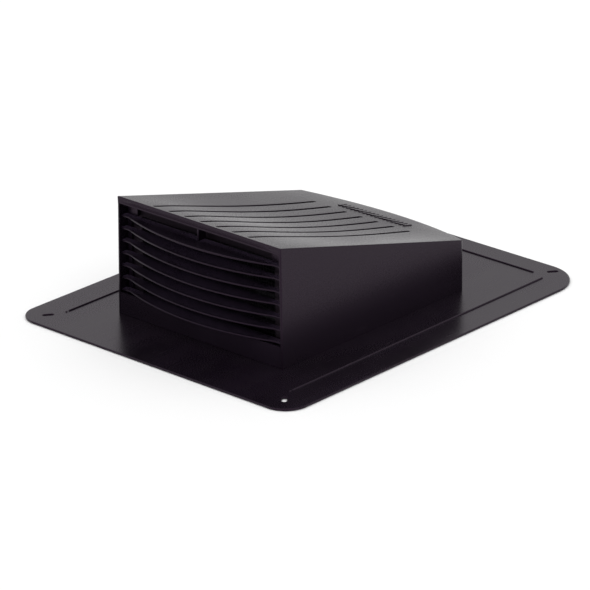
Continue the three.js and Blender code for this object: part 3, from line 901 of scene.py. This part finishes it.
def make_hood(material):
    """The hood's shell, with a softer edge where the roof meets the sides and the back."""
    shape = Shape()
    outer_front, outer_foot = hood_surface(shape, False)
    inner_front, inner_foot = hood_surface(shape, True)
    hood_front_rim(shape, outer_front, inner_front)
    low_front_left = (inner_foot[0][0], HOOD_FRONT_Y, HOOD_FOOT_Z)
    low_front_right = (inner_foot[-1][0], HOOD_FRONT_Y, HOOD_FOOT_Z)
    strip(shape, outer_foot, [low_front_left] + inner_foot + [low_front_right])
    roof_bars(shape)
    hood_bosses(shape)

    def near_roof(point):
        return abs(point.z - roof_z(point.x, point.y)) < 0.25 and abs(point.x) < 112

    def side_edge(a, b):
        return all(near_roof(p) and abs(abs(p.x) - HOOD_HALF * widen(p.z)) < 0.1 for p in (a, b))

    def at_back(point):
        return abs(point.y - back_edge_y(point.x / widen(point.z))) < ON_EDGE

    def at_front(point):
        return abs(point.y - HOOD_FRONT_Y) < ON_EDGE

    def back_edge(a, b):
        return all(near_roof(p) and at_back(p) for p in (a, b))

    def back_corner(a, b):
        at_corner = all(abs(p.x) > HOOD_HALF - 1 and p.y > HOOD_BACK_Y - 0.1 for p in (a, b))
        return at_corner and abs(a.z - b.z) > ON_EDGE

    def front_edge(a, b):
        return all(near_roof(p) and at_front(p) for p in (a, b))

    def front_corner(a, b):
        on_edge = all(at_front(p) and abs(p.x) > HOOD_HALF * widen(p.z) - ON_EDGE for p in (a, b))
        return on_edge and abs(a.z - b.z) > ON_EDGE

    hood = shape.piece("hood_shell_moulded", material, [
        (side_edge, 0.42),
        (back_edge, 0.5),
        (back_corner, 1.0),
        (front_edge, 0.2),
        (front_corner, 0.4),
    ])
    soften_weighted(hood, HOOD_ROUND)
    return soften(hood, SHARP_ROUND, 65)


# ---- Flange ---------------------------------------------------------------------------------------


def flange_beads(shape):
    """The raised lines on the flange: one across the back, and one with a pip on each side."""
    ends = [(-BACK_BEAD_HALF, BACK_BEAD_Y), (BACK_BEAD_HALF, BACK_BEAD_Y)]
    bead(shape, *ends, BEAD_W, BEAD_H, FLANGE_T)
    dome = [
        (PIP_R, -SINK_BELOW), (PIP_R, 0.1), (PIP_R * 0.86, 0.5), (PIP_R * 0.5, 0.8), (0.05, BEAD_H),
    ]
    for side in (-1, 1):
        x = side * SIDE_BEAD_X
        bead(shape, (x, SIDE_BEAD_Y[0]), (x, SIDE_BEAD_Y[1]), BEAD_W, BEAD_H, FLANGE_T)
        lathe(shape, dome, (x, PIP_Y, FLANGE_T), sides=20)


def flange_inside(shape):
    """What the hood hides: ribs that locate its side walls, hinge bracket pegs and screw pads."""
    peg = [(PEG_R, -SINK_BELOW), (PEG_R, PEG_H - 0.4), (PEG_R - 0.4, PEG_H), (0.05, PEG_H)]
    pad = [
        (COUNTERSINK_R, 0), (PAD_R, 0), (PAD_R, PAD_TOP - 0.4), (PAD_R - 0.4, PAD_TOP),
        (SCREW_HOLE_R + 0.2, PAD_TOP), (SCREW_HOLE_R, PAD_TOP - 0.2),
        (SCREW_HOLE_R, COUNTERSINK_TOP),
    ]
    for side in (-1, 1):
        rib_x = side * RIB_X
        bead(shape, (rib_x, RIB_Y[0]), (rib_x, RIB_Y[1]), RIB_W, PAD_TOP - FLANGE_T, FLANGE_T)
        lathe(shape, peg, (side * PEG_X, PEG_Y, FLANGE_T), sides=24)
        for y in BOSS_Y:
            lathe(shape, pad, (side * BOSS_X, y, 0), sides=36, closed=True)


def make_flange(material):
    """The flange plate with its throat, nail slots and pad holes, and all that stands on it."""
    shape = Shape()
    half_y = FLANGE_Y / 2
    outline = rounded_rect(FLANGE_X / 2, -half_y, half_y, FRONT_CORNER_R, BACK_CORNER_R, 26)
    throat_ys = (THROAT_Y - THROAT_HALF, THROAT_Y + THROAT_HALF)
    holes = [rounded_rect(THROAT_HALF, *throat_ys, THROAT_R, THROAT_R, THROAT_CORNER_STEPS)]
    for side in (-1, 1):
        holes.append(slot_outline(side * FRONT_SLOT[0], FRONT_SLOT[1], side * -SLOT_TURN))
        holes.append(slot_outline(side * BACK_SLOT[0], BACK_SLOT[1], side * SLOT_TURN))
        for y in BOSS_Y:
            holes.append(arc((side * BOSS_X, y), PAD_R - 0.02, 0, math.radians(350), 35))
    plate(shape, outline, holes, 0, FLANGE_T, 0.45)
    flange_beads(shape)
    flange_inside(shape)
    flange = shape.piece("flange_moulded", material)
    even_shading(flange, 90)
    return flange


# ---- Louvres --------------------------------------------------------------------------------------


def blade_front_y(x):
    """A blade's front edge: a bow forwards, and straight beyond its two ends."""
    radius = (ARCH_HALF ** 2 + ARCH_RISE ** 2) / (2 * ARCH_RISE)
    if abs(x) >= ARCH_HALF:
        return BLADE_END_Y
    return BLADE_END_Y - ARCH_RISE + radius - math.sqrt(radius ** 2 - x ** 2)


def make_blade(index, material):
    """A shelf with a straight rear edge and an arched, rounded lip."""
    middle = BLADE_TOP_Z - index * BLADE_PITCH
    half = BLADE_T / 2
    end_x = (HOOD_HALF - HOOD_WALL) * widen(middle + half) - BLADE_END_GAP
    stations = [-end_x, -BLADE_STRAIGHT_X]
    stations += [ARCH_HALF * (2 * i / BLADE_SPANS - 1) for i in range(BLADE_SPANS + 1)]
    stations += [BLADE_STRAIGHT_X, end_x]
    shape = Shape()
    rings = []
    for x in stations:
        front = blade_front_y(x)
        ring = [
            (x, BLADE_REAR_Y, middle - half + REAR_ROUND),
            (x, BLADE_REAR_Y, middle + half - REAR_ROUND),
            (x, BLADE_REAR_Y - REAR_ROUND, middle + half),
        ]
        for i in range(6):
            angle = math.radians(90 + 36 * i)
            y = front + LIP_R + LIP_R * math.cos(angle)
            lift = (half - LIP_R) if i < 3 else (LIP_R - half)
            ring.append((x, y, middle + lift + LIP_R * math.sin(angle)))
        ring.append((x, BLADE_REAR_Y - REAR_ROUND, middle - half))
        rings.append(ring)
    shape.skin(rings)
    blade = shape.piece(f"louvre_blade_{index + 1}_moulded", material)
    return soften(blade, 0.25, 70)


# ---- Insect screen --------------------------------------------------------------------------------
SCREEN_WIRE_PITCH = 3.4
SCREEN_WIRE_R = 0.2


def make_screen(material):
    """Woven wire cloth: each wire goes over one crossing and under the next."""
    low, high = (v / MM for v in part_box("screen_mesh"))
    radius = SCREEN_WIRE_R
    swing = (high.y - low.y) / 2 - radius
    middle_y = (low.y + high.y) / 2
    starts = (low.x, low.z)
    spans = (high.x - low.x, high.z - low.z)
    counts = [round(span / SCREEN_WIRE_PITCH) for span in spans]
    pitches = [span / count for span, count in zip(spans, counts)]
    shape = Shape()
    for upright in (True, False):
        own, other = (0, 1) if upright else (1, 0)
        start = starts[own]
        run_start = starts[other]
        for wire in range(counts[own]):
            place = start + pitches[own] * (wire + 0.5)
            rings = []
            for step in range(counts[other] * 2 + 1):
                along = run_start + pitches[other] * step / 2
                turn = math.pi * (step / 2 - 0.5)
                sign = 1 if (wire % 2 == 0) == upright else -1
                y = middle_y + sign * swing * math.cos(turn)
                ring = []
                for i in range(5):
                    angle = 2 * math.pi * i / 5
                    u = place + radius * math.cos(angle)
                    v = y + radius * math.sin(angle)
                    ring.append((u, v, along) if upright else (along, v, u))
                rings.append(ring)
            shape.skin(rings)
    return shape.piece("screen_wire_cloth", material)


# ---- Screws ---------------------------------------------------------------------------------------
SCREW_SIDES = 20
# From a screw's driven face to its thread, as (radius, height above that face).
HOOD_SCREW_CONE = ((SCREW_HEAD_R, 0.18), (SCREW_HEAD_R, 0.4), (1.2, 2.5), (1.05, 4.0))
HOOD_SCREW_CORE_R = 1.0
HOOD_SCREW_PITCH = 1.4
SCREEN_SCREW_CAP = ((2.5, 0.15), (2.75, 0.5), (2.8, 1.0), (2.8, 1.7), (1.05, 1.8))
SCREEN_SCREW_CORE_R = 0.85
SCREEN_SCREW_R = 1.2
SCREEN_SCREW_PITCH = 1.1


def thread_rings(from_h, to_h, core_r, outer_r, pitch):
    """A screw thread with a tapered tip: rings of one (radius, height) for each side."""
    rings = []
    steps = int((to_h - from_h) / pitch * 5)
    for step in range(steps + 1):
        height = from_h + (to_h - from_h) * step / steps
        taper = min(1, (to_h - height) / 2.0 + 0.1)
        ring = []
        for i in range(SCREW_SIDES):
            phase = (height / pitch - i / SCREW_SIDES) % 1
            crest = max(0, 1 - abs(phase - 0.5) * 5)
            ring.append(((core_r + (outer_r - core_r) * crest) * taper, height))
        rings.append(ring)
    return rings


def head_rings(head_r, recess, edge):
    """The driven face of a screw head, from its rim to its middle, with a cross recess."""
    rings = []
    for share in (1.0, 0.9, 0.75, 0.6, 0.45, 0.3, 0.15, 0.02):
        ring = []
        for i in range(SCREW_SIDES):
            angle = 2 * math.pi * i / SCREW_SIDES
            reach = head_r * share
            thin = min(abs(math.cos(angle)), abs(math.sin(angle))) * reach
            inside = share < 0.65 and thin < 0.13 * head_r + 0.05
            depth = recess * (1 - share) if inside else 0
            ring.append((reach, edge + depth))
        rings.append(ring)
    return rings


def place_rings(shape, rings, at, turn_to):
    """Rings of (radius, height) per side, stood on a point along +Z or -Y."""
    placed = []
    for ring in rings:
        points = []
        for i, (radius, height) in enumerate(ring):
            angle = 2 * math.pi * i / len(ring)
            u = radius * math.cos(angle)
            v = radius * math.sin(angle)
            if turn_to == "z":
                points.append((at[0] + u, at[1] + v, at[2] + height))
            else:
                points.append((at[0] + u, at[1] - height, at[2] + v))
        placed.append(points)
    shape.skin(placed)


def make_hood_screw(node, material):
    """A countersunk screw driven up from under the flange."""
    low, high = (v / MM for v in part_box(node))
    middle = ((low.x + high.x) / 2, (low.y + high.y) / 2, 0)
    head = head_rings(SCREW_HEAD_R - 0.15, 1.2, low.z)[::-1]
    cone = [[(radius, low.z + height)] * SCREW_SIDES for radius, height in HOOD_SCREW_CONE]
    thread = thread_rings(low.z + 4.2, high.z, HOOD_SCREW_CORE_R, SCREW_SHANK_R, HOOD_SCREW_PITCH)
    shape = Shape()
    place_rings(shape, head + cone + thread, middle, "z")
    return shape.piece(node + "_threaded", material)


def make_screen_screw(node, material):
    """A pan-head screw driven forwards through the screen frame into a lug of the louvre frame."""
    low, high = (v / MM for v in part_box(node))
    middle = ((low.x + high.x) / 2, high.y, (low.z + high.z) / 2)
    head = head_rings(2.1, 0.9, 0)[::-1]
    cap = [[(radius, height)] * SCREW_SIDES for radius, height in SCREEN_SCREW_CAP]
    length = high.y - low.y
    thread = thread_rings(2.0, length, SCREEN_SCREW_CORE_R, SCREEN_SCREW_R, SCREEN_SCREW_PITCH)
    shape = Shape()
    place_rings(shape, head + cap + thread, middle, "y")
    return shape.piece(node + "_threaded", material)


# ---- Assembly -------------------------------------------------------------------------------------


def stand_for(made, node, body="vent_body"):
    """A detailed piece that is shown in place of a CAD node."""
    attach(made, body)
    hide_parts(node)


def finish_cad(node, material, round_mm):
    """A CAD node whose shape is right: rounded edges and a full material."""
    made = soften_cad(node, round_mm)
    made.data.materials.clear()
    made.data.materials.append(material)
    for face in made.data.polygons:
        face.material_index = 0


def build():
    """Every piece of the vent, each with its material; the pieces built here are put under the vent
    body.
    """
    hood_plastic = moulded_plastic("hood_plastic", HOOD_BLACK, 0.27)
    flange_plastic = moulded_plastic("flange_plastic", HOOD_BLACK, 0.26)
    louvre_plastic = moulded_plastic("louvre_plastic", LOUVRE_BLACK, 0.3, wear=0.8)
    # The blades get painted fill light in the shade between them
    blade_plastic = moulded_plastic("blade_plastic", BLADE_BLACK, 0.3, dust=0.02, painted_fill_light=BLADE_PAINTED_FILL_LIGHT)
    inner_plastic = moulded_plastic("inner_plastic", INNER_BLACK, 0.55, wear=0.3, dust=0.06)
    flap_plastic = moulded_plastic("flap_plastic", FLAP_GREY, 0.48, dust=0.4)
    screen_wire = metal("screen_wire", WIRE_BLACK, 0.55, (1, 1, 1), WORN_WIRE, 500)
    pin_steel = metal("pin_steel", STEEL, 0.28, (0.15, 3, 3), DULL_STEEL)
    screw_zinc = metal("screw_zinc", ZINC, 0.36, (1, 1, 1), DULL_ZINC)
    seal_foam = foam_rubber("seal_foam")

    stand_for(make_flange(flange_plastic), "base_flange")
    stand_for(make_hood(hood_plastic), "hood_shell")
    for index in range(BLADES):
        stand_for(make_blade(index, blade_plastic), f"louvre_blade_{index + 1}")
    stand_for(make_screen(screen_wire), "screen_mesh")
    for hand in ("left", "right"):
        for end in ("front", "back"):
            node = f"hood_screw_{end}_{hand}"
            stand_for(make_hood_screw(node, screw_zinc), node)
        for level in ("lower", "upper"):
            node = f"screen_screw_{level}_{hand}"
            stand_for(make_screen_screw(node, screw_zinc), node)
        finish_cad(f"hinge_bracket_{hand}", inner_plastic, 0.35)
        finish_cad(f"hinge_pin_clip_{hand}", pin_steel, 0.15)
    for where in ("left", "right", "front", "back"):
        finish_cad(f"throat_seal_{where}", seal_foam, 0.7)
    finish_cad("throat_collar", flange_plastic, 0.4)
    finish_cad("louvre_frame", louvre_plastic, 0.15)
    finish_cad("screen_frame", inner_plastic, 0.4)
    finish_cad("damper_flap", flap_plastic, 0.3)
    finish_cad("damper_hinge_pin", pin_steel, 0.3)


make_camera()
make_world()
make_light("overhead_box", SOFT_BOX_PLACE, SOFT_BOX_SIZE, SOFT_BOX_WATTS)
make_floor()
build()
bpy.context.scene.view_settings.view_transform = "Standard"
